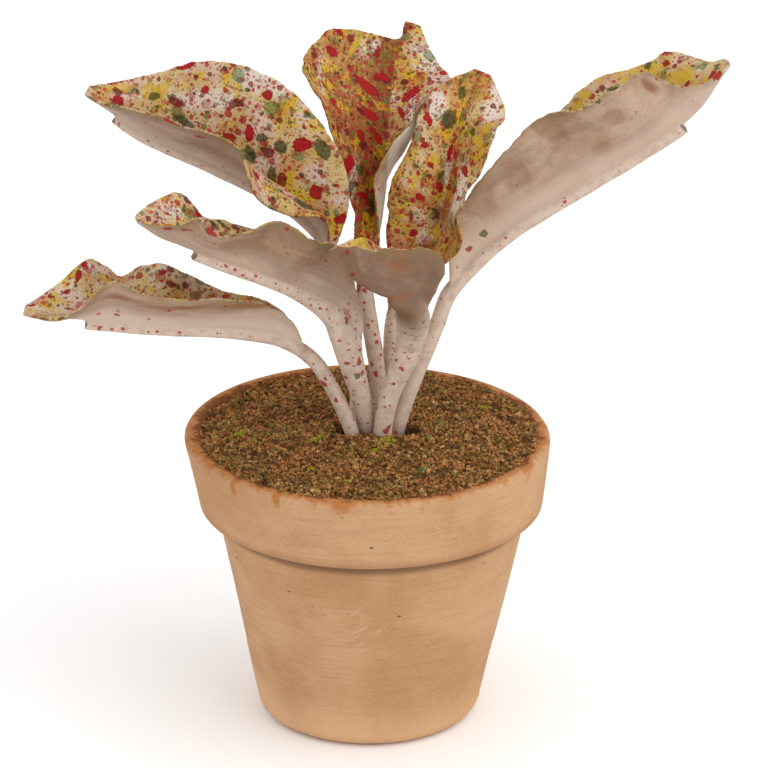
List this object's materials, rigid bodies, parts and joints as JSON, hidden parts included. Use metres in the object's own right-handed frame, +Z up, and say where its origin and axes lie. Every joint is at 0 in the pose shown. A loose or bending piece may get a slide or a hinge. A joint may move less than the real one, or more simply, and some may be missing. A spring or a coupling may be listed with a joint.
{
  "type": "miniature potted coleus",
  "caption": "Miniature artificial coleus with waved, folded, colour-splashed leaves on stout stalks, standing in a soil-filled terracotta pot.",
  "frame": {"origin": "centre of the pot's foot, on the surface it stands on", "axes": "+Z up; the plant's front faces -Y; the longest leaves reach towards -X and +X"},
  "size_m": [0.0568, 0.0342, 0.0554],
  "materials": {
    "terracotta": "matte",
    "soil": "matte",
    "painted_leaf": "satin"
  },
  "bodies": {
    "root": {"pot": "terracotta", "soil": "soil", "leaf_upper_left": "painted_leaf", "leaf_top": "painted_leaf", "leaf_top_right": "painted_leaf", "leaf_right": "painted_leaf", "leaf_mid_left": "painted_leaf", "leaf_front": "painted_leaf", "leaf_low_left": "painted_leaf"}
  },
  "joints": []
}
